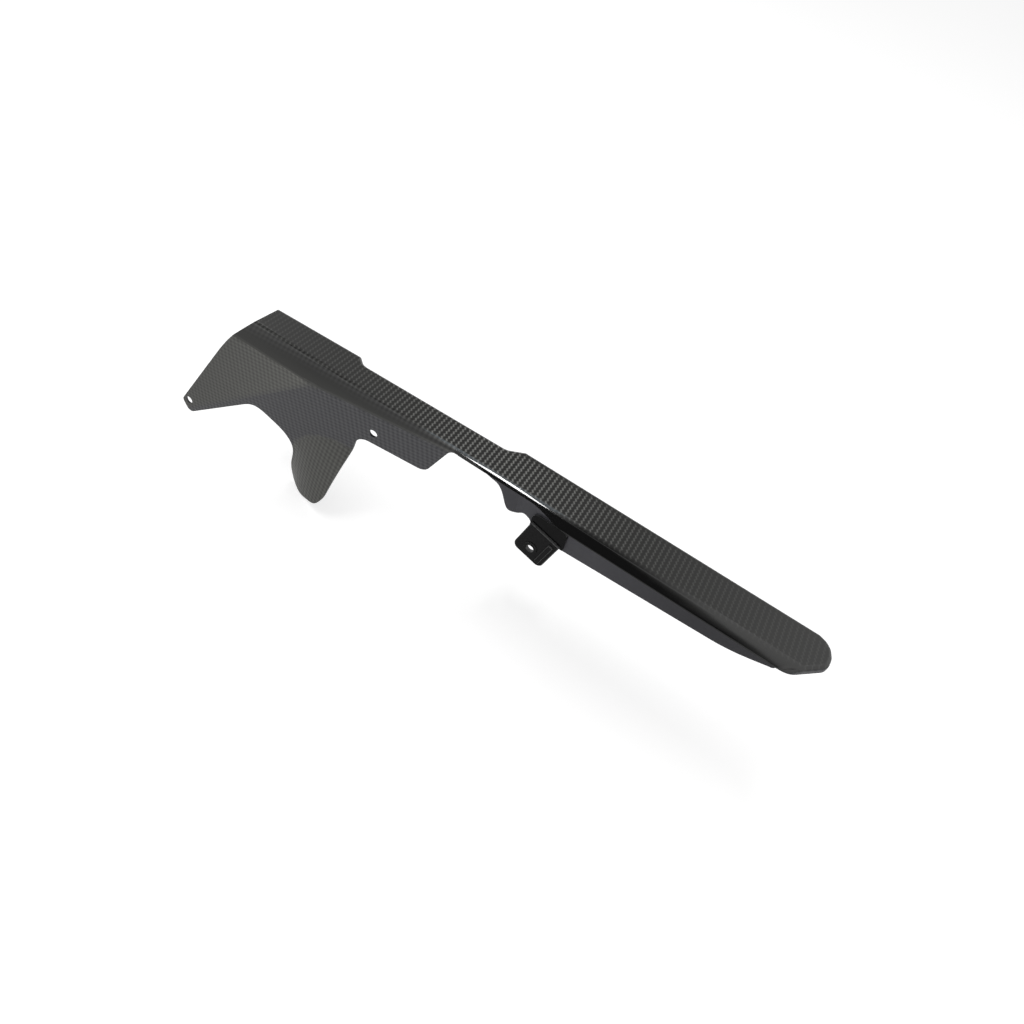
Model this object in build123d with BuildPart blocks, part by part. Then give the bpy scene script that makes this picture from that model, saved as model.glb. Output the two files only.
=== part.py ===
# Motorcycle chain guard: a moulded carbon channel with a mounting bracket bonded inside the far wall
# Frame: origin at the mid bolt hole on the near wall, +X to the tail, +Y to the far wall, +Z up
import os
from math import cos, radians, sin, tan

from build123d import *

# Moulding: wall thickness, how far the working block hangs below the fin, and where the trims meet
wall = 1.5
block_clearance = 6.2
split_y = 20.0
margin = 30.0

# Top strip and its near fold
top_z = 24.5
fold_y = 6.5
fold_slope = 38.2
fold_radius = 6.0
lip_width = 7.0
front_x = -195.0
join_x = 64.0

# Far edge seen from above: front flap, shallow recess, ramp out to the far wall
flap_front_y = 27.4
flap_end = (-41.0, 33.8)
flap_radius = 1.5
recess_start = (-34.0, 28.1)
recess_end = (84.5, 31.9)
recess_radius = 9.0
ramp_end_x = 95.2
far_edge_y = 38.9
edge_radius = 3.0
edge_lip = 5.0

# Far wall: it leans out down to a crease, then hangs straight
far_lean = 5.0
far_crease_z = -18.2

# Near wall: front panel, mid panel turned in along a diagonal, and the flared fin
front_panel_y = -6.24
mid_panel_run = 0.092
mid_panel_fall = -0.112
panel_radius = 60.0
shoulder_radius = 3.2
fin_crease_low = (-62.6, -54.7)
fin_crease_high = (-18.6, -26.3)
fin_flare = 22.0
fin_radius = 14.0
fin_reach = 90.0
fin_crown = 3.0
fin_crown_radius = 112.0
fin_crown_along = 0.42
fin_overrun = 2.0

# Rounded tail
tail_x = 323.4
tail_far_run = 21.4
tail_corners = ((6.4, 37.15), (2.4, 33.3), (0.0, 27.0), (0.0, 18.5))
tail_corner_radius = 9.0
tail_near_run = 19.0
tail_near_radius = 16.0

# Near trim seen from the side, as X and Z
front_top_x = -113.9
front_bend = (-137.0, -7.9)
tab_front = (-179.3, -80.6)
tab_base = (-172.2, -90.9)
tab_corner_radius = 4.0
arch_front = (-114.0, -45.0)
arch_points = ((-103.0, -39.7), (-89.7, -43.8), (-78.4, -50.3), (-72.2, -57.8))
fin_points = ((-70.2, -68.0), (-72.4, -82.0), (-69.0, -95.0), (-60.0, -99.3), (-47.0, -95.5), (-36.0, -90.0))
fin_right = (-28.2, -76.8)
fin_end_pull = 0.35
fin_root = (-12.5, -10.3)
fin_root_radius = 12.0
rear_low = (42.2, -9.4)
rear_high_x = 58.3
strip_drop = 2.1
rear_low_radius = 10.0
rear_high_radius = 5.0
lip_start_x = 120.0
lip_end_x = 153.0

# Far trim seen from the side, as X and Z
far_front_top_x = 30.0
far_front_points = ((67.1, -2.6), (82.6, -6.4))
far_step_top = (87.4, -10.6)
far_step_points = ((93.8, -27.5), (97.4, -32.8), (102.0, -33.4), (107.4, -30.1), (111.6, -31.1))
far_step_end = (114.8, -34.4)
far_base_front = (121.5, -42.6)
far_base_rear = (275.0, -34.95)
far_base_radius = 120.0
far_tail_run = 18.4
far_tail_z = -26.2
far_tail_end = 15.2
far_tail_radius = 6.0

# Bolt holes
hole_d = 6.5
front_hole = (-172.0, -77.9)
tab_hole_along = 12.0
tab_hole_down = 20.8

# Bracket
flange_t = 2.0
flange_left_x = 115.0
flange_right_x = 144.2
flange_top_z = -22.4
flange_base_z = -39.5
flange_radius = 5.0
tab_t = 2.5
tab_step = 2.0
tab_turn = 15.5
tab_corner = (116.3, -29.9)
tab_width = 27.0
tab_height = 31.4
tab_radius = 5.0
bend_radius = 1.5
return_depth = 5.5
return_start = 9.0
boss_d = 11.0
boss_t = 0.8
rib_width = 4.0
rib_height = 1.3
rib_inset = 3.0
rib_start = 4.0
rib_end = 4.5
rib_round = 0.8

# Values that follow from the sizes above
block_depth = top_z - min(z for _, z in fin_points) + block_clearance
fold_angle = radians(fold_slope)
lean_angle = radians(far_lean)
flare_angle = radians(fin_flare)
turn_angle = radians(tab_turn)
lip_z = top_z - lip_width * tan(fold_angle)
edge_z = top_z - edge_lip
strip_z = top_z - strip_drop
front_top = (front_top_x, top_z)
rear_high = (rear_high_x, strip_z)
lip_y = fold_y - lip_width
far_wall_y = far_edge_y + (top_z - far_crease_z) * tan(lean_angle)
far_inner_y = far_wall_y - wall
far_tail_x = tail_x - far_tail_end
far_tail_point = (tail_x - far_tail_run, far_tail_z)
ramp_slope = (ramp_end_x - recess_end[0]) / (far_edge_y - recess_end[1])
ramp_top = (recess_end[0] + ramp_slope * (far_wall_y - recess_end[1]), far_wall_y)
fold_normal = Vector(0, -sin(fold_angle), cos(fold_angle))
lean_normal = Vector(0, cos(lean_angle), sin(lean_angle))
mid_normal = Vector(mid_panel_run, -1.0, mid_panel_fall).normalized()
fold_line = Vector(0, fold_y, top_z)
far_line = Vector(0, far_edge_y, top_z)
tail_points = [(tail_x - run, y) for run, y in tail_corners]
tail_near = (tail_x - tail_near_run, lip_y)
plan_corners = (
    (flap_end, flap_radius), (recess_start, recess_radius), (recess_end, recess_radius),
    (ramp_top, recess_radius), *((point, tail_corner_radius) for point in tail_points),
    (tail_near, tail_near_radius),
)


def on_mid_panel(x, z):
    return Vector(x, mid_panel_run * x + mid_panel_fall * z, z)


crease_low = on_mid_panel(*fin_crease_low)
crease_run = on_mid_panel(*fin_crease_high) - crease_low
crease_dir = crease_run.normalized()
crease_fall = crease_dir.cross(mid_normal)
fin_fall = crease_fall * cos(flare_angle) + mid_normal * sin(flare_angle)
fin_normal = mid_normal * cos(flare_angle) - crease_fall * sin(flare_angle)
fin_axis = crease_low + crease_run * fin_crown_along - fin_normal * (fin_crown_radius - fin_crown)
fin_left_run = crease_run.length * fin_crown_along + margin
fin_right_run = crease_run.length * (1 - fin_crown_along) + fin_overrun
fin_side = fin_fall.cross(crease_dir).dot(fin_normal)
fin_peak = crease_low + crease_run * fin_crown_along - crease_fall * fin_crown / sin(flare_angle)
panel_x = arch_points[1][0]
panel_mid = Vector(panel_x, front_panel_y, (front_panel_y - mid_panel_run * panel_x) / mid_panel_fall)
shoulder_z = top_z - (fold_y - front_panel_y) * tan(fold_angle)


# The channel as a solid block, every face moved in by the inset
def channel_block(inset):
    with BuildPart() as outside:
        with BuildSketch(Plane(mid_normal * -inset, x_dir=crease_dir, z_dir=mid_normal)):
            Rectangle(4 * block_depth, 4 * block_depth)
        extrude(amount=margin)
        split(bisect_by=Plane.YZ.offset(join_x), keep=Keep.BOTTOM)
    with BuildPart() as fin:
        with BuildSketch(Plane(fin_axis - fin_fall * margin, x_dir=crease_dir, z_dir=fin_fall)):
            Circle(fin_crown_radius - inset)
            with Locations(((fin_right_run - fin_left_run) / 2, fin_side * fin_crown_radius)):
                Rectangle(fin_right_run + fin_left_run, 4 * margin, mode=Mode.INTERSECT)
        extrude(amount=fin_reach + margin)
    with BuildPart() as block:
        with BuildSketch(Plane.XY.offset(top_z - inset)):
            with BuildLine():
                Polyline((front_x, front_panel_y), (front_x, flap_front_y), flap_end, recess_start,
                         recess_end, ramp_top, (tail_x - tail_far_run, far_wall_y), *tail_points, tail_near,
                         (join_x, lip_y), (join_x, front_panel_y), close=True)
            make_face()
            for corner, radius in plan_corners:
                fillet(vertices().sort_by_distance(corner)[0], radius)
            offset(amount=-inset, kind=Kind.INTERSECTION)
        extrude(amount=-(block_depth + 10 * inset))
        add(outside.part, mode=Mode.SUBTRACT)
        split(bisect_by=Plane(fold_line - fold_normal * inset, z_dir=fold_normal), keep=Keep.BOTTOM)
        split(bisect_by=Plane(far_line - lean_normal * inset, z_dir=lean_normal), keep=Keep.BOTTOM)
        fillet(edges().sort_by_distance(panel_mid)[0], panel_radius - inset)
        shoulder = faces().sort_by_distance((front_bend[0], 0, (top_z + shoulder_z) / 2))[0]
        crease = shoulder.edges().filter_by(
            lambda edge: edge.center().Z < strip_z and front_x + margin < edge.center().X < join_x - 1)
        fillet(crease, shoulder_radius - inset)
        add(fin.part)
        fillet(edges().sort_by_distance(fin_peak)[0], fin_radius + inset)
        strip = faces().sort_by(Axis.Z)[-1]
        fillet(strip.edges().filter_by(Axis.X).sort_by(Axis.Y)[0], fold_radius - inset)
        rim = faces().sort_by(Axis.Z)[-1].edges().filter_by(
            lambda edge: edge.center().X > front_x + margin and edge.center().Y > fold_y + fold_radius / 2)
        fillet(rim, edge_radius - inset)
    return block


outer = channel_block(0)
inner = channel_block(wall)

# Side outlines that trim the near and far halves
with BuildPart() as keep:
    with BuildSketch(Plane.XZ.offset(-split_y)):
        with BuildLine():
            Polyline((lip_end_x, lip_z), (tail_x + margin, lip_z), (tail_x + margin, top_z + margin),
                     (front_top_x, top_z + margin), front_top)
            leg = Line(tab_front, front_bend)
            TangentArc(front_bend, front_top, tangent=leg % 1)
            base = Polyline(tab_front, tab_base, arch_front)
            root = Polyline(fin_right, fin_root, rear_low, rear_high, (lip_start_x, strip_z))
            Spline(arch_front, *arch_points, *fin_points, fin_right, tangents=(base % 1, root % 0),
                   tangent_scalars=(1.0, fin_end_pull))
            Spline((lip_start_x, strip_z), (lip_end_x, lip_z), tangents=((1.0, 0.0), (1.0, 0.0)))
        make_face()
        fillet(vertices().sort_by_distance(tab_front)[0], tab_corner_radius)
        fillet(vertices().sort_by_distance(tab_base)[0], tab_corner_radius)
        fillet(vertices().sort_by_distance(fin_root)[0], fin_root_radius)
        fillet(vertices().sort_by_distance(rear_low)[0], rear_low_radius)
        fillet(vertices().sort_by_distance(rear_high)[0], rear_high_radius)
    extrude(amount=2 * margin)
    with BuildSketch(Plane.XZ.offset(-split_y)):
        with BuildLine():
            Polyline((far_front_top_x, edge_z), (front_top_x, edge_z), (front_top_x, top_z + margin),
                     (tail_x + margin, top_z + margin), (tail_x + margin, lip_z), (far_tail_x, lip_z))
            front = Polyline((far_front_top_x, edge_z), far_front_points[0], far_front_points[1])
            Spline(far_front_points[1], far_step_top, *far_step_points, far_step_end,
                   tangents=(front % 1, (0.6, -1.0)))
            Polyline(far_step_end, far_base_front, far_base_rear, far_tail_point, (far_tail_x, lip_z))
        make_face()
        fillet(vertices().sort_by_distance(far_base_rear)[0], far_base_radius)
        fillet(vertices().sort_by_distance(far_tail_point)[0], far_tail_radius)
    extrude(amount=-2 * margin)

with BuildPart() as guard_shell:
    add(outer.part)
    add(inner.part, mode=Mode.SUBTRACT)
    add(keep.part, mode=Mode.INTERSECT)
    with BuildSketch(Plane((0, 0, 0), z_dir=mid_normal)):
        Circle(hole_d / 2)
    extrude(amount=4 * wall, both=True, mode=Mode.SUBTRACT)
    with BuildSketch(Plane((front_hole[0], front_panel_y, front_hole[1]), z_dir=(0, -1, 0))):
        Circle(hole_d / 2)
    extrude(amount=4 * wall, both=True, mode=Mode.SUBTRACT)

# Bracket on the inner face of the far wall
tab_y = far_inner_y - flange_t - tab_step
tab_plane = Plane(
    (tab_corner[0], tab_y, tab_corner[1]), x_dir=(cos(turn_angle), 0, -sin(turn_angle)), z_dir=(0, -1, 0))
with BuildPart() as mounting_bracket:
    with BuildSketch(Plane.XZ.offset(-far_inner_y)):
        Polygon((flange_left_x, flange_base_z), (flange_left_x, flange_top_z),
                (flange_right_x, flange_top_z), (flange_right_x, flange_base_z), align=None)
        fillet(vertices().group_by(Axis.Y)[-1], flange_radius)
    extrude(amount=flange_t)
    with BuildSketch(tab_plane):
        with Locations((tab_width / 2, -tab_height / 2)):
            Rectangle(tab_width, tab_height)
        fillet(vertices().group_by(Axis.Y)[0], tab_radius)
    extrude(amount=-tab_t)
    with BuildSketch(tab_plane):
        with Locations((tab_width - tab_t / 2, -(return_start + tab_height - tab_radius) / 2)):
            Rectangle(tab_t, tab_height - tab_radius - return_start)
    extrude(amount=-return_depth)
    top_bend = edges().sort_by_distance(tab_plane.from_local_coords((tab_width / 2, 0, 0)))[0]
    side_bend = edges().sort_by_distance(tab_plane.from_local_coords((tab_width, -tab_height / 2, 0)))[0]
    fillet([top_bend, side_bend], bend_radius)
    with BuildSketch(tab_plane):
        with Locations((tab_width - rib_inset - rib_width / 2, -(rib_start + tab_height - rib_end) / 2)):
            Rectangle(rib_width, tab_height - rib_start - rib_end)
    extrude(amount=rib_height)
    fillet(faces().sort_by(Axis.Y)[0].edges(), rib_round)
    with BuildSketch(tab_plane):
        with Locations((tab_hole_along, -tab_hole_down)):
            Circle(boss_d / 2)
    extrude(amount=boss_t)
    with BuildSketch(tab_plane):
        with Locations((tab_hole_along, -tab_hole_down)):
            Circle(hole_d / 2)
    extrude(amount=4 * tab_t, both=True, mode=Mode.SUBTRACT)

guard_shell.part.label = "guard_shell"
mounting_bracket.part.label = "mounting_bracket"
os.makedirs("parts", exist_ok=True)
export_step(guard_shell.part, "parts/guard_shell.step")
export_step(mounting_bracket.part, "parts/mounting_bracket.step")
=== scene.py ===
import math

import bmesh
import bpy
from mathutils import Euler, Matrix, Vector


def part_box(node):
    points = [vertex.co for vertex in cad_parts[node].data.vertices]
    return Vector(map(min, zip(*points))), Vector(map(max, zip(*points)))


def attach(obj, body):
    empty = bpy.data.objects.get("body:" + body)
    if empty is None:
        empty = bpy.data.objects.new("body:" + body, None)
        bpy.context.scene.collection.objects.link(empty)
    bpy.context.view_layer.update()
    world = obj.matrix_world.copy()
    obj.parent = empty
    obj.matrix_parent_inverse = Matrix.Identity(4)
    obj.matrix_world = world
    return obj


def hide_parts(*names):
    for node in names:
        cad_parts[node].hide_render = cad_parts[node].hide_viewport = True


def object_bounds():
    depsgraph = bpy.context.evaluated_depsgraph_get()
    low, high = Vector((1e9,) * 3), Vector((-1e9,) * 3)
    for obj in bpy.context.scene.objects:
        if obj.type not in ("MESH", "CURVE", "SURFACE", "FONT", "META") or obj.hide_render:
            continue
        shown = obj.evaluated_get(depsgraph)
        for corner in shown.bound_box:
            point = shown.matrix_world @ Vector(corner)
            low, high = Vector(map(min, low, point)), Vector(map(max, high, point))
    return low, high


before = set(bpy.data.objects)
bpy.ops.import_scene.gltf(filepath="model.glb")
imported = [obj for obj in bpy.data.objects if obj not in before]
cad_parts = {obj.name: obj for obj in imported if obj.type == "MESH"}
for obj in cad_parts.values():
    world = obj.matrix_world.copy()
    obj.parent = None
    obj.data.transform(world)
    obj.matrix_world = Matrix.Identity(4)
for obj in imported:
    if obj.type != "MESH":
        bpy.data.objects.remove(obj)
scene = bpy.context.scene
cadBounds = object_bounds()
print("stage: frame loaded")


# Node helpers
def addNode(tree, kind, inputs=None, **settings):
    node = tree.nodes.new(kind)
    for name, value in settings.items():
        setattr(node, name, value)
    for key, value in (inputs or {}).items():
        if isinstance(value, bpy.types.NodeSocket):
            tree.links.new(value, node.inputs[key])
        else:
            node.inputs[key].default_value = value
    return node


def calc(tree, operation, first, second=0.0, third=0.0):
    inputs = {0: first, 1: second, 2: third}
    return addNode(tree, "ShaderNodeMath", inputs, operation=operation).outputs[0]


def newMaterial(name):
    material = bpy.data.materials.new(name)
    material.use_nodes = True
    material.node_tree.nodes.clear()
    return material, material.node_tree


def finishMaterial(tree, shader):
    addNode(tree, "ShaderNodeOutputMaterial", {"Surface": shader})


def newGroup(name, inputs, outputs):
    group = bpy.data.node_groups.new(name, "ShaderNodeTree")
    for label, kind in inputs:
        group.interface.new_socket(label, in_out="INPUT", socket_type=kind)
    for label, kind in outputs:
        group.interface.new_socket(label, in_out="OUTPUT", socket_type=kind)
    return group, addNode(group, "NodeGroupInput"), addNode(group, "NodeGroupOutput")


# Number helpers
def clamp(value):
    return min(1.0, max(0.0, value))


def share(value, ends):  # 0 at the first end, 1 at the second
    return clamp((value - ends[0]) / (ends[1] - ends[0]))


def mix(first, second, factor):
    return first + (second - first) * factor


def mixTone(first, second, factor):
    return tuple(Vector(a).lerp(Vector(b), factor) for a, b in zip(first, second))


# Plain weave on the bias: wavy chains of light floats as a painted glint where the light catches them, a
# soft chequer where it lies dull
weaveLook = {"beadMean": 0.75, "beadSwing": -0.25, "chequerMean": 0.5, "chequerSwing": 0.25}


def makeWeaveGroup():
    look, fullTurn = weaveLook, 2.0 * math.pi
    group, source, target = newGroup(
        "carbonWeave",
        [("Cloth", "NodeSocketVector"), ("Width", "NodeSocketFloat"), ("Sway", "NodeSocketFloat")],
        [("Glint", "NodeSocketFloat"), ("Chequer", "NodeSocketFloat")])
    split = addNode(group, "ShaderNodeSeparateXYZ", {0: source.outputs["Cloth"]})
    along, across = split.outputs[0], split.outputs[1]
    phase = calc(group, "MULTIPLY", across, fullTurn)
    chain = calc(group, "MULTIPLY_ADD", calc(group, "SINE", phase), source.outputs["Sway"], along)
    offset = calc(group, "SUBTRACT", chain, calc(group, "ROUND", chain))
    ridge = calc(group, "POWER", calc(group, "DIVIDE", offset, source.outputs["Width"]), 2.0)
    ridge = calc(group, "EXPONENT", calc(group, "MULTIPLY", ridge, -1.0))
    swell = calc(group, "COSINE", phase)
    bead = calc(group, "MULTIPLY_ADD", swell, look["beadSwing"], look["beadMean"])
    column = calc(group, "COSINE", calc(group, "MULTIPLY", along, fullTurn))
    chequer = calc(group, "SUBTRACT", column, swell)
    chequer = calc(group, "MULTIPLY_ADD", chequer, look["chequerSwing"], look["chequerMean"])
    group.links.new(calc(group, "MULTIPLY", ridge, bead), target.inputs["Glint"])
    group.links.new(chequer, target.inputs["Chequer"])
    return group


weaveGroup = makeWeaveGroup()

# Cloth lie on each panel: lattice lengths in metres along and across, and the turn in degrees
clothLies = {
    "strip": {"along": 0.00370, "across": 0.00300, "turn": 4.5},
    "wall": {"along": 0.00376, "across": 0.00310, "turn": 8.0},
    "fin": {"along": 0.00376, "across": 0.00310, "turn": -5.0},
}

# Round fold between the strip and the shoulder: where the two flats would meet, and how the round turns
fold = {"y": 0.0065, "radius": 0.006, "slope": math.radians(38.2)}
foldTangent = fold["radius"] * math.tan(fold["slope"] / 2)
foldStart = fold["y"] + foldTangent
foldEnd = fold["y"] - foldTangent * math.cos(fold["slope"])

# Where the shell's panels begin and end, in metres, or by a part of their normal
panels = {
    "topNormalZ": 0.35,  # steeper faces are walls
    "channelY": 0.017,  # the near wall lies on one side, the far wall on the other
    "rearX": 0.060,  # behind it the fold ends in a free lip
    # Painted sheen: the strip's weave is painted brightest in the middle
    "paintedSheenX": 0.085, "paintedSheenWidth": 0.092, "paintedSheenLow": 0.10,  # the strip's weave is brightest in the middle
    "bareY": (0.0375, 0.0330),  # bare far edge, full weave
    # Painted shade: the lip is painted black, greying to the tail on a slant
    "lipX": (0.180, 0.240), "lipSlant": 0.110, "lipDrop": 0.007,  # the lip greys to the tail on a slant
    # Painted sheen: the weave's sheen fades down the shoulder, further down in front
    "softX": (-0.060, -0.150), "fade": (0.006, 0.014),  # weave runs further down the shoulder in front
    "frontY": -0.00624, "midY": (0.0846, -0.00199),  # the shoulder's lower crease on the two panels
    # Painted light: the shoulder is painted lighter toward its lower crease
    "lowFrom": (0.35, 0.85),  # the shoulder greys toward that crease
    "shoulderNormalZ": (0.78, 0.30),  # shoulder, wall
    # Painted shade: the front panel darker at its end, the mid panel darker and bluish
    "frontX": (-0.16, -0.06),  # the front panel is darker at its end
    "midNormalX": (0.020, 0.075),  # front panel, mid panel
    # Painted light: the fin is painted lighter where it faces up
    "finX": -0.075, "finTopZ": -0.024, "finNormalZ": (-0.06, 0.02),  # the fin faces up a little
    # Painted shade: the inside is painted darker at the tail
    "innerX": (0.240, 0.170),  # the inside is darker at the tail
}

# Resin tone and tow tone of each panel, as the photograph shows them, with the light and shade on each
# panel painted in
tones = {
    # Painted sheen: the light tow tone stands in for the glint on the floats; the strip's ends are painted
    # lighter
    "strip": ((0.034, 0.034, 0.033), (0.250, 0.250, 0.240)),
    "stripEnd": ((0.041, 0.041, 0.040), (0.250, 0.250, 0.240)),
    # Painted shade: the fold is painted dark, less so in front, and the lip black
    "fold": ((0.007, 0.007, 0.007), (0.042, 0.042, 0.041)),
    "foldFront": ((0.028, 0.028, 0.027), (0.056, 0.056, 0.054)),
    "lip": ((0.007, 0.007, 0.007), (0.007, 0.007, 0.007)),
    # Painted shade and light: the shoulder is painted dark, lighter toward its lower crease
    "shoulder": ((0.012, 0.012, 0.011), (0.034, 0.034, 0.032)),
    "shoulderLow": ((0.023, 0.023, 0.021), (0.034, 0.034, 0.032)),
    # Painted light and shade: the front panel darker at its end, the mid panel darker and bluish, the fin
    # lighter
    "frontEnd": ((0.052, 0.052, 0.047), (0.112, 0.112, 0.103)),
    "front": ((0.084, 0.084, 0.077), (0.182, 0.182, 0.168)),
    "mid": ((0.044, 0.044, 0.049), (0.114, 0.114, 0.121)),
    "fin": ((0.058, 0.058, 0.053), (0.138, 0.138, 0.127)),
    # Inside: its own satin grey lifted by painted reflection, darker toward the tail as painted shade
    "inner": ((0.090, 0.089, 0.100), (0.090, 0.089, 0.100)),
    "innerEnd": ((0.054, 0.053, 0.060), (0.054, 0.053, 0.060)),
}

# A skin on the CAD surface: welded, cut across in even steps and where the cloth changes, flat on the flats
skinLook = {
    "weld": 1e-6, "step": 0.012, "crease": math.radians(24.0),
    "cutsY": (panels["bareY"][1], foldEnd - panels["fade"][0] * math.cos(fold["slope"])),
}


def cutAcross(build, place, axis):
    geom = build.verts[:] + build.edges[:] + build.faces[:]
    bmesh.ops.bisect_plane(build, geom=geom, plane_co=place, plane_no=axis)


def makeSkin(nodeName, pieceName):
    look, node = skinLook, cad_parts[nodeName]
    build = bmesh.new()
    build.from_mesh(node.data)
    bmesh.ops.remove_doubles(build, verts=build.verts, dist=look["weld"])
    low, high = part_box(nodeName)
    for count in range(1, int((high.x - low.x) / look["step"])):
        cutAcross(build, (low.x + count * look["step"], 0.0, 0.0), (1.0, 0.0, 0.0))
    for place in look["cutsY"]:
        cutAcross(build, (0.0, place, 0.0), (0.0, 1.0, 0.0))
    for face in build.faces:
        face.smooth = True
    for edge in build.edges:
        edge.smooth = edge.calc_face_angle(math.pi) < look["crease"]
    mesh = bpy.data.meshes.new(pieceName)
    build.to_mesh(mesh)
    build.free()
    piece = bpy.data.objects.new(pieceName, mesh)
    scene.collection.objects.link(piece)
    flats = piece.modifiers.new("flats", "WEIGHTED_NORMAL")
    flats.keep_sharp = True
    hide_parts(nodeName)
    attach(piece, "root")
    return piece


# True normals round the fold, so that its highlight runs clean
def roundFold(shell):
    mesh = shell.data
    shaded = shell.evaluated_get(bpy.context.evaluated_depsgraph_get()).data
    normals = [corner.vector.copy() for corner in shaded.corner_normals]
    for face in mesh.polygons:
        if face.normal.z > panels["topNormalZ"] and foldEnd < face.center.y < foldStart:
            for corner in face.loop_indices:
                spot = mesh.vertices[mesh.loops[corner].vertex_index].co
                lean = clamp((foldStart - spot.y) / fold["radius"])
                normals[corner] = Vector((0.0, -lean, math.sqrt(1.0 - lean * lean)))
    shell.modifiers.clear()
    mesh.normals_split_custom_set(normals)


# Cloth coordinates, counted in tows
def lattice(along, across, lie):
    turn = math.radians(lie["turn"])
    first = along * math.cos(turn) + across * math.sin(turn)
    second = across * math.cos(turn) - along * math.sin(turn)
    return first / lie["along"], second / lie["across"]


# Cloth length across the strip, round the fold and down the shoulder; turn round the fold; length down
def acrossFold(spot):
    slope, radius = fold["slope"], fold["radius"]
    turn = min(slope, math.asin(clamp((foldStart - spot.y) / radius)))
    down = max(0.0, foldEnd - spot.y) / math.cos(slope)
    return max(spot.y, foldStart) - radius * turn - down, turn / slope, down


# Tone of the near wall's panels, told apart by where they lie and face, with painted light and shade: a
# darker front end, a darker bluish mid panel and a lighter fin
def panelTone(spot, facing):
    tone = mixTone(tones["frontEnd"], tones["front"], share(spot.x, panels["frontX"]))
    tone = mixTone(tone, tones["mid"], share(facing.x, panels["midNormalX"]))
    onFin = spot.x > panels["finX"] and spot.z < panels["finTopZ"]
    return mixTone(tone, tones["fin"], share(facing.z, panels["finNormalZ"])) if onFin else tone


# Each dress gives cloth coordinates, resin and tow tone with painted light and shade, weave strength with
# painted sheen, and 0 for glint to 1 for dull
def dressTop(spot, facing, atRear):
    across, turn, down = acrossFold(spot)
    uv = lattice(spot.x, across, clothLies["strip"])
    # Painted sheen: the strip's tone and weave strength peak mid-strip
    glow = math.exp(-((spot.x - panels["paintedSheenX"]) / panels["paintedSheenWidth"]) ** 2)
    tone = mixTone(tones["stripEnd"], tones["strip"], glow)
    strength = mix(panels["paintedSheenLow"], 1.0, glow)
    if atRear:
        # Painted shade: the lip is painted black round the fold, greying toward the tail on a slant
        greyed = share(spot.x - panels["lipSlant"] * clamp(down / panels["lipDrop"]), panels["lipX"])
        tone = mixTone(tone, tones["lip"], turn * (1.0 - greyed))
        return uv, tone, strength * (1.0 - turn) * share(spot.y, panels["bareY"]), 0.0
    soft = share(spot.x, panels["softX"])
    faded = clamp(down / mix(*panels["fade"], soft))
    # Painted shade: the fold and the shoulder below it are painted dark, the fold less so in front
    tone = mixTone(tone, mixTone(tones["fold"], tones["foldFront"], soft), turn)
    tone = mixTone(tone, tones["shoulder"], faded)
    # Painted light: the shoulder is painted lighter toward its lower crease
    creaseY = max(panels["frontY"], panels["midY"][0] * spot.x + panels["midY"][1])
    low = share(share(spot.y, (foldEnd, creaseY)), panels["lowFrom"])
    tone = mixTone(tone, tones["shoulderLow"], low)
    tone = mixTone(tone, panelTone(spot, facing), share(facing.z, panels["shoulderNormalZ"]))
    return uv, tone, mix(strength, 1.0, turn) * (1.0 - faded), turn


# Outer walls: the panel's painted light and shade, and the shoulder's painted lighter tone where a face
# turns up toward it
def dressWall(spot, facing, lie):
    strength = share(facing.z, panels["shoulderNormalZ"])
    tone = mixTone(tones["shoulderLow"], panelTone(spot, facing), strength)
    return lattice(spot.x, spot.z, lie), tone, strength, 1.0


# Inside: its own grey lifted by painted reflection, painted darker toward the tail as shade
def dressInside(spot):
    tone = mixTone(tones["innerEnd"], tones["inner"], share(spot.x, panels["innerX"]))
    return lattice(spot.x, spot.z, clothLies["wall"]), tone, 0.0, 1.0


# Writes the dress to every corner of the shell
def layCloth(shell):
    mesh = shell.data
    # The resin layer carries the resin tone with painted light and shade, the tow layer the tow tone and
    # weave strength with painted sheen
    mesh.uv_layers.new(name="cloth")
    for name in ("resinAndPaintedShading", "towAndPaintedSheen"):
        mesh.color_attributes.new(name=name, type="FLOAT_COLOR", domain="CORNER")
    uvLayer = mesh.uv_layers["cloth"]
    resinAndPaintedShading, towAndPaintedSheen = mesh.color_attributes["resinAndPaintedShading"], mesh.color_attributes["towAndPaintedSheen"]
    for face in mesh.polygons:
        normal, centre = face.normal, face.center
        onTop = normal.z > panels["topNormalZ"]
        onWall = abs(normal.z) <= panels["topNormalZ"]
        onOutside = onWall and (normal.y < 0) == (centre.y < panels["channelY"])
        lie = clothLies["fin" if normal.z > panels["finNormalZ"][1] else "wall"]
        for corner in face.loop_indices:
            spot = mesh.vertices[mesh.loops[corner].vertex_index].co
            facing = mesh.corner_normals[corner].vector
            if onTop:
                dress = dressTop(spot, facing, centre.x > panels["rearX"])
            elif onOutside:
                dress = dressWall(spot, facing, lie)
            else:
                dress = dressInside(spot)
            uv, tone, strength, dull = dress
            uvLayer.data[corner].uv = uv
            resinAndPaintedShading.data[corner].color = (*tone[0], dull)
            towAndPaintedSheen.data[corner].color = (*tone[1], strength)


# Carbon: dark laminate under a clear coat, with the light floats of the cloth, a painted sheen, over the
# resin tone with its painted light and shade
carbonLook = {
    "towWidth": 0.16, "towSway": -0.11, "towRough": 0.42, "specular": 0.0,
    "coat": 0.75, "coatRough": 0.05,
}


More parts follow.
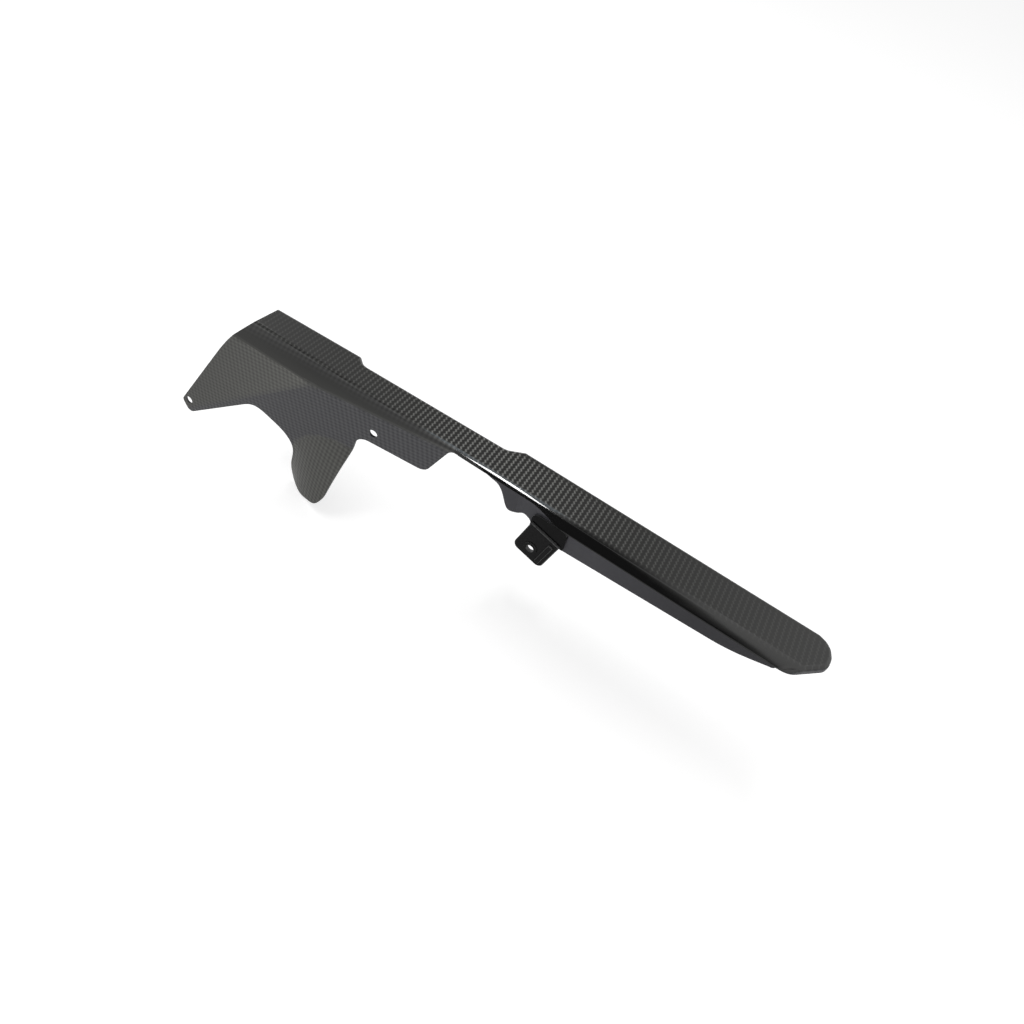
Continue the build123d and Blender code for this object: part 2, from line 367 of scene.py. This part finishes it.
def makeCarbon():
    look = carbonLook
    material, tree = newMaterial("carbonShell")
    uv = addNode(tree, "ShaderNodeUVMap", uv_map="cloth")
    weave = addNode(tree, "ShaderNodeGroup", node_tree=weaveGroup)
    tree.links.new(uv.outputs[0], weave.inputs["Cloth"])
    weave.inputs["Width"].default_value = look["towWidth"]
    weave.inputs["Sway"].default_value = look["towSway"]
    resinAndPaintedShading = addNode(tree, "ShaderNodeVertexColor", layer_name="resinAndPaintedShading")
    towAndPaintedSheen = addNode(tree, "ShaderNodeVertexColor", layer_name="towAndPaintedSheen")
    shine = addNode(tree, "ShaderNodeMix", {  # factor, then the two values
        0: resinAndPaintedShading.outputs["Alpha"], 2: weave.outputs["Glint"], 3: weave.outputs["Chequer"]})
    shine = calc(tree, "MULTIPLY", shine.outputs[0], towAndPaintedSheen.outputs["Alpha"])
    colour = addNode(tree, "ShaderNodeMix", {  # factor, then the two colours
        0: shine, 6: resinAndPaintedShading.outputs["Color"], 7: towAndPaintedSheen.outputs["Color"]}, data_type="RGBA")
    shader = addNode(tree, "ShaderNodeBsdfPrincipled", {
        "Base Color": colour.outputs[2], "Roughness": look["towRough"],
        "Specular IOR Level": look["specular"],
        "Coat Weight": look["coat"], "Coat Roughness": look["coatRough"]})
    finishMaterial(tree, shader.outputs[0])
    return material


# Bracket: moulded gloss black with a fine grain; painted shade darkens the flange, the tab is a little
# greyer, and painted highlights grey its rib and the edges that face up
bracketLook = {
    "bendX": 0.1163, "bendZ": -0.0299, "bendTurn": math.radians(15.5),  # the tab hangs below this bend
    # Painted shade: the flange is painted darker than the tab
    "flangePaintedShade": 0.003, "tab": 0.011,
    # Painted highlight: the rib's round
    "ribPaintedHighlight": 0.090, "ribFrom": 0.019, "ribNormalY": (-0.90, -0.20),
    # Painted highlight: the edges that face up
    "edge": 0.130, "highlightNormalZ": 0.45,
    "grainScale": 700.0, "grainDetail": 3.0, "grainRange": (0.30, 0.70),
    "mottle": (0.65, 1.35), "bump": 0.12, "bumpHeight": 0.0002,
    "rough": (0.10, 0.26), "specular": 0.08, "coat": 0.14, "coatRough": 0.12,
}


# Grey of each bracket face, with painted highlights on the upward edges and the rib and painted shade on
# the flange
def bracketGrey(face):
    look, turn = bracketLook, bracketLook["bendTurn"]
    along, rise = face.center.x - look["bendX"], face.center.z - look["bendZ"]
    if face.normal.z > look["highlightNormalZ"]:
        return look["edge"]
    if rise >= -along * math.tan(turn):
        return look["flangePaintedShade"]
    onRib = along * math.cos(turn) - rise * math.sin(turn) > look["ribFrom"]
    onRound = look["ribNormalY"][0] < face.normal.y < look["ribNormalY"][1]
    return look["ribPaintedHighlight"] if onRib and onRound else look["tab"]


def toneBracket(bracket):
    mesh = bracket.data
    tone = mesh.color_attributes.new(name="tone", type="FLOAT_COLOR", domain="CORNER")
    for face in mesh.polygons:
        grey = bracketGrey(face)
        for corner in face.loop_indices:
            tone.data[corner].color = (grey, grey, grey, 1.0)


def makeBracketBlack():
    look = bracketLook
    material, tree = newMaterial("bracketBlack")
    tone = addNode(tree, "ShaderNodeVertexColor", layer_name="tone")
    grain = addNode(tree, "ShaderNodeTexNoise", {
        "Vector": addNode(tree, "ShaderNodeTexCoord").outputs["Object"],
        "Scale": look["grainScale"], "Detail": look["grainDetail"]}).outputs[0]
    rough, mottle = [
        addNode(tree, "ShaderNodeMapRange", {
            0: grain, 1: look["grainRange"][0], 2: look["grainRange"][1], 3: low, 4: high}).outputs[0]
        for low, high in (look["rough"], look["mottle"])]
    colour = addNode(tree, "ShaderNodeMix", {  # factor, then the two colours
        0: 1.0, 6: tone.outputs["Color"], 7: mottle}, data_type="RGBA", blend_type="MULTIPLY")
    bump = addNode(tree, "ShaderNodeBump", {
        "Strength": look["bump"], "Distance": look["bumpHeight"], "Height": grain})
    shader = addNode(tree, "ShaderNodeBsdfPrincipled", {
        "Base Color": colour.outputs[2], "Roughness": rough, "Normal": bump.outputs[0],
        "Specular IOR Level": look["specular"],
        "Coat Weight": look["coat"], "Coat Roughness": look["coatRough"]})
    finishMaterial(tree, shader.outputs[0])
    return material


shell = makeSkin("guard_shell", "shellSkin")
bracket = makeSkin("mounting_bracket", "bracketSkin")
roundFold(shell)
layCloth(shell)
toneBracket(bracket)
shell.data.materials.append(makeCarbon())
bracket.data.materials.append(makeBracketBlack())
print("stage: pieces dressed")


# A flat stage piece from its corners
def makeFlat(name, corners, material):
    build = bmesh.new()
    build.faces.new([build.verts.new(corner) for corner in corners])
    mesh = bpy.data.meshes.new(name)
    build.to_mesh(mesh)
    build.free()
    mesh.materials.append(material)
    flat = bpy.data.objects.new(name, mesh)
    scene.collection.objects.link(flat)
    return flat


# Pale floor that keeps the shadow, lifted to white for the camera
floorLook = {
    "size": 12.0, "gap": 0.0004, "colour": (0.60, 0.60, 0.60, 1.0),
    "lift": 0.59, "mirrorLift": 0.12,  # for the camera, for reflections
}


def makeFloor():
    look = floorLook
    material, tree = newMaterial("floorPale")
    path = addNode(tree, "ShaderNodeLightPath")
    seen = calc(tree, "MAXIMUM", path.outputs["Is Camera Ray"], path.outputs["Is Transmission Ray"])
    mirrored = calc(tree, "MULTIPLY", path.outputs["Is Glossy Ray"], look["mirrorLift"])
    strength = calc(tree, "MULTIPLY_ADD", seen, look["lift"], mirrored)
    diffuse = addNode(tree, "ShaderNodeBsdfDiffuse", {"Color": look["colour"]})
    lift = addNode(tree, "ShaderNodeEmission", {"Strength": strength})
    both = addNode(tree, "ShaderNodeAddShader", {0: diffuse.outputs[0], 1: lift.outputs[0]})
    finishMaterial(tree, both.outputs[0])
    low, half = cadBounds[0].z - look["gap"], look["size"] / 2
    corners = [(-half, -half, low), (half, -half, low), (half, half, low), (-half, half, low)]
    floor = makeFlat("floor", corners, material)


# White surround: full strength where it is seen or mirrored, softer where it lights
worldLook = {"diffuse": 0.54}


def makeWorld():
    world = bpy.data.worlds.new("surround")
    scene.world = world
    world.use_nodes = True
    tree = world.node_tree
    tree.nodes.clear()
    path = addNode(tree, "ShaderNodeLightPath")
    seen = calc(tree, "MAXIMUM", path.outputs["Is Camera Ray"], path.outputs["Is Glossy Ray"])
    seen = calc(tree, "MAXIMUM", seen, path.outputs["Is Transmission Ray"])
    strength = calc(tree, "MULTIPLY_ADD", seen, 1.0 - worldLook["diffuse"], worldLook["diffuse"])
    sky = addNode(tree, "ShaderNodeBackground", {"Color": (1.0, 1.0, 1.0, 1.0), "Strength": strength})
    addNode(tree, "ShaderNodeOutputWorld", {"Surface": sky.outputs[0]})


# One overhead softbox
softboxLook = {"place": (-0.40, 0.10, 1.96), "aimX": 0.10, "size": (0.22, 1.90), "power": 20.0}


def makeSoftbox():
    look = softboxLook
    lamp = bpy.data.lights.new("softbox", "AREA")
    lamp.shape = "RECTANGLE"
    lamp.size, lamp.size_y = look["size"]
    lamp.energy = look["power"]
    softbox = bpy.data.objects.new("softbox", lamp)
    softbox.location = look["place"]
    softbox.rotation_euler.y = -math.atan2(look["aimX"] - look["place"][0], look["place"][2])
    softbox.visible_glossy = False
    scene.collection.objects.link(softbox)


# Cards that only reflections see: dark flags, the fold's highlight and the blue gloss beside it
cardLooks = [
    {"name": "nearFlag", "level": 0.0,
     "corners": [(-0.12, -0.15, 0.60), (0.04, -0.22, 0.60), (0.16, -0.345, 0.60), (0.45, -0.385, 0.60),
                 (0.45, -0.75, 0.60), (-0.12, -0.75, 0.60)]},
    {"name": "leftFlag", "level": 0.0,
     "corners": [(-0.80, -0.18, 0.85), (-0.30, -0.18, 0.85), (-0.30, 0.80, 0.95), (-0.80, 0.80, 0.95)]},
    {"name": "rightFlag", "level": 0.0, "fade": (-0.02, 0.03, 0.14, 0.32),
     "corners": [(-0.02, -0.30, 0.85), (0.32, -0.30, 0.85), (0.32, 0.80, 0.95), (-0.02, 0.80, 0.95)]},
    {"name": "farFlag", "level": 0.0, "fade": (-1.50, -0.45, 0.10, 0.75),
     "corners": [(-1.60, 0.80, 0.45), (1.00, 0.80, 0.45), (1.00, 0.80, 0.95), (-1.60, 0.80, 0.95)]},
    {"name": "foldCard", "level": 45.0,
     "corners": [(-0.55, -0.40, 1.90), (-0.44, 0.24, 1.90), (-0.34, 0.24, 1.90), (-0.24, -0.45, 1.90),
                 (-0.34, -1.10, 1.90), (-0.44, -1.10, 1.90)]},
    {"name": "glossCard", "level": 2.4, "fade": (-1.10, -0.60, -0.25, 0.20),
     "colour": (0.80, 0.91, 1.0, 1.0),
     "corners": [(-1.10, -0.15, 1.92), (0.20, -0.15, 1.92), (0.20, 1.10, 1.92), (-1.10, 1.10, 1.92)]},
]


def makeCard(look):
    material, tree = newMaterial(look["name"])
    strength = look["level"]
    if "fade" in look:  # its own level in the middle, the surround's level at both ends
        left, ownFrom, ownTo, right = look["fade"]
        spot = addNode(tree, "ShaderNodeTexCoord").outputs["Object"]
        place = addNode(tree, "ShaderNodeSeparateXYZ", {0: spot}).outputs[0]
        ends = [addNode(tree, "ShaderNodeMapRange", {0: place, 1: own, 2: white}).outputs[0]
                for own, white in ((ownFrom, left), (ownTo, right))]
        ends = calc(tree, "MAXIMUM", *ends)
        strength = calc(tree, "MULTIPLY_ADD", ends, 1.0 - look["level"], look["level"])
    colour = look.get("colour", (1.0, 1.0, 1.0, 1.0))
    glow = addNode(tree, "ShaderNodeEmission", {"Color": colour, "Strength": strength})
    finishMaterial(tree, glow.outputs[0])
    card = makeFlat(look["name"], look["corners"], material)
    card.visible_camera = card.visible_diffuse = card.visible_shadow = card.visible_transmission = False


makeFloor()
makeWorld()
makeSoftbox()
for cardLook in cardLooks:
    makeCard(cardLook)
print("stage: light set")

# Camera at the photograph's angle, for a square image
cameraLook = {
    "place": (0.22868, -0.33856, 0.3772), "turn": (42.6123, -13.0769, 32.6924),  # metres, degrees
    "lens": 28.125, "sensor": 36.0, "clip": (0.01, 20.0),
}


def makeCamera():
    look = cameraLook
    data = bpy.data.cameras.new("camera")
    data.lens, data.sensor_width = look["lens"], look["sensor"]
    data.clip_start, data.clip_end = look["clip"]
    camera = bpy.data.objects.new("camera", data)
    turn = Euler([math.radians(angle) for angle in look["turn"]])
    camera.matrix_world = Matrix.LocRotScale(Vector(look["place"]), turn, None)
    scene.collection.objects.link(camera)
    scene.camera = camera


makeCamera()
scene.view_settings.view_transform = "Standard"
print("stage: camera set")
